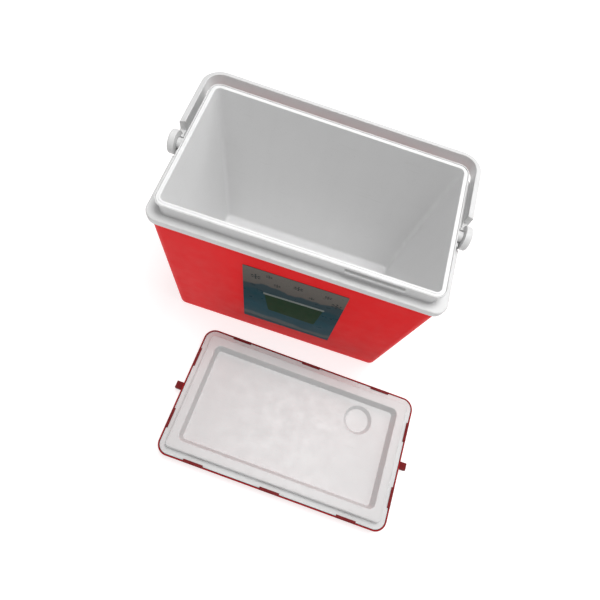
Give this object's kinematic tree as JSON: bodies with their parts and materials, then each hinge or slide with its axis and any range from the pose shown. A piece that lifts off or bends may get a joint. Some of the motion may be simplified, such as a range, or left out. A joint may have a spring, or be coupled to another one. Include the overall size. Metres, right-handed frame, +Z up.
{
  "type": "cool box with bail handle",
  "caption": "Tapered insulated picnic cool box with an upstanding rim, a folding bail handle and a loose lid that its handle locks down.",
  "frame": {"origin": "middle of the flat base that the box stands on", "axes": "+Z up, +X to the right along the box's long side, +Y to the back; the lid lies in front, on the -Y side"},
  "size_m": [0.4956, 0.5159, 0.3376],
  "materials": {
    "red_plastic": "satin",
    "white_plastic": "satin",
    "foam": "matte",
    "label_film": "printed film"
  },
  "bodies": {
    "box": {"outer_shell": "red_plastic", "body_foam": "foam", "inner_liner": "white_plastic", "rim_collar": "white_plastic", "front_label": "label_film", "pivot_pin_left": "white_plastic", "pivot_pin_right": "white_plastic"},
    "handle": {"handle": "white_plastic"},
    "lid": {"lid_shell": "red_plastic", "lid_foam": "foam", "lid_panel": "white_plastic", "lid_clip_front_1": "red_plastic", "lid_clip_front_2": "red_plastic", "lid_clip_front_3": "red_plastic", "lid_clip_rear_1": "red_plastic", "lid_clip_rear_2": "red_plastic", "lid_clip_rear_3": "red_plastic", "lid_clip_left_1": "red_plastic", "lid_clip_left_2": "red_plastic", "lid_clip_right_1": "red_plastic", "lid_clip_right_2": "red_plastic", "lid_lock_peg_left": "red_plastic", "lid_lock_peg_right": "red_plastic"}
  },
  "joints": [
    {"name": "handle_swing", "type": "hinge", "parent": "box", "child": "handle", "pos_m": [0, 0, 0.321], "axis": [1, 0, 0], "range_deg": [0, 180]},
    {"name": "lid_lift", "type": "slide", "parent": "box", "child": "lid", "axis": [0, 0, 1], "range_m": [0, 0.38]}
  ]
}
